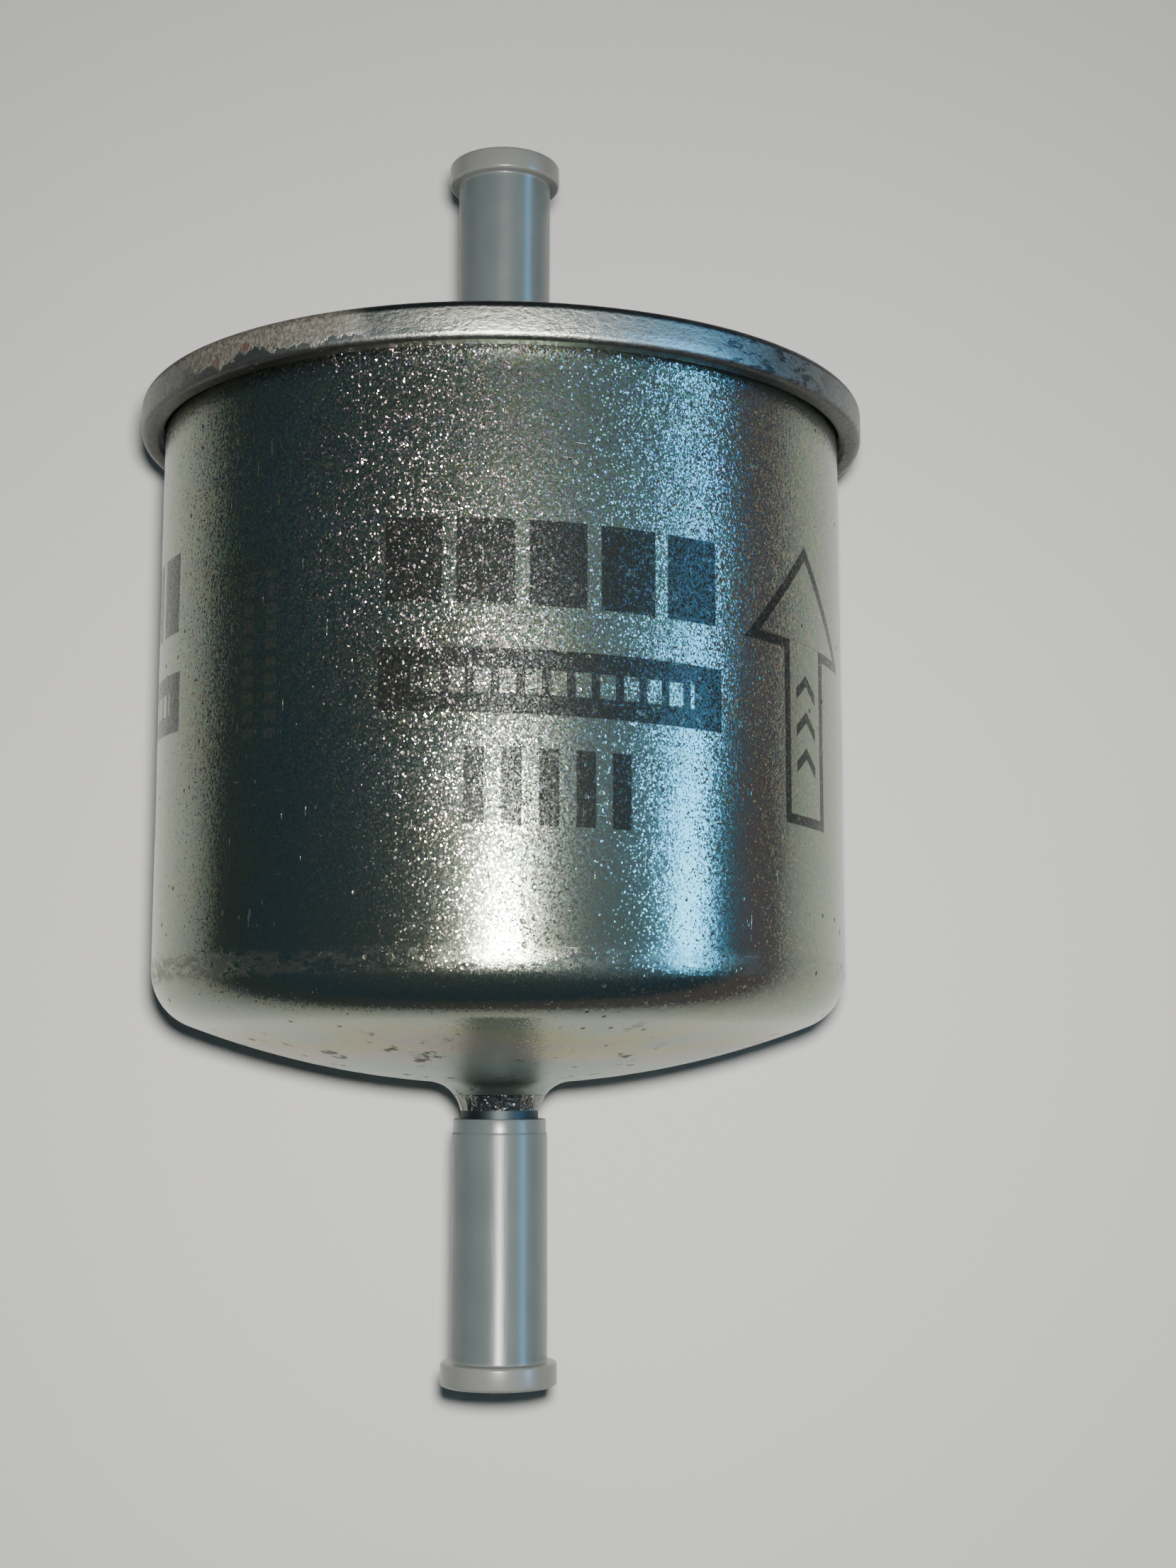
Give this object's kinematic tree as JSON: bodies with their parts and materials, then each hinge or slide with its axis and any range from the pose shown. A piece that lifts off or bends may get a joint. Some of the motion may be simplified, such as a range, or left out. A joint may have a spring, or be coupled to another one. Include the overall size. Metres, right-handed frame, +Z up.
{
  "type": "inline fuel filter",
  "caption": "Round steel canister fuel filter with a domed inlet end, a rolled seam at the outlet end, and a hose tail with a push-on transit cap at each end.",
  "frame": {"origin": "on the surface the filter lies on, below its axis, at the middle of the overall length with both transit caps on", "axes": "+Y along the filter's axis in the direction of flow, from the domed inlet end to the seamed outlet end; +Z up, with the filter lying on its side"},
  "size_m": [0.0766, 0.1308, 0.0766],
  "materials": {
    "zinc_plated_steel": "bright zinc plate with a fine orange peel",
    "tarnished_steel": "dull zinc plate, tarnished and spotted",
    "plated_pipe": "bright zinc plate",
    "braze": "copper braze under zinc plate",
    "milky_polythene": "milky, slightly see-through",
    "filter_paper": "resin-treated paper",
    "tin_plate": "tin plate",
    "spring_steel": "drawn wire",
    "potting_resin": "cured resin",
    "fuel_rubber": "matt",
    "strainer_fabric": "non-woven"
  },
  "bodies": {
    "housing": {"housing_can": "zinc_plated_steel", "end_cover": "tarnished_steel", "seam_seal": "fuel_rubber", "inlet_pipe": "plated_pipe", "outlet_pipe": "plated_pipe", "inlet_braze_ring": "braze", "outlet_braze_ring": "braze", "inlet_baffle": "tin_plate", "support_spring": "spring_steel"},
    "element": {"closed_end_cap": "tin_plate", "outlet_end_cap": "tin_plate", "closed_end_potting": "potting_resin", "outlet_end_potting": "potting_resin", "pleated_media": "filter_paper", "media_seam_clip": "tin_plate", "centre_tube": "tin_plate", "strainer_sleeve": "strainer_fabric", "outlet_grommet": "fuel_rubber"},
    "inlet_cap": {"inlet_transit_cap": "milky_polythene"},
    "outlet_cap": {"outlet_transit_cap": "milky_polythene"}
  },
  "joints": [
    {"name": "inlet_cap_pull", "type": "slide", "parent": "housing", "child": "inlet_cap", "axis": [0, -1, 0], "range_m": [0, 0.035]},
    {"name": "outlet_cap_pull", "type": "slide", "parent": "housing", "child": "outlet_cap", "axis": [0, 1, 0], "range_m": [0, 0.035]},
    {"name": "element_float", "type": "slide", "parent": "housing", "child": "element", "axis": [0, -1, 0], "range_m": [0, 0.0015], "stiffness_N_per_m": 2000, "springref_m": -0.004, "deforming": ["support_spring"]}
  ]
}
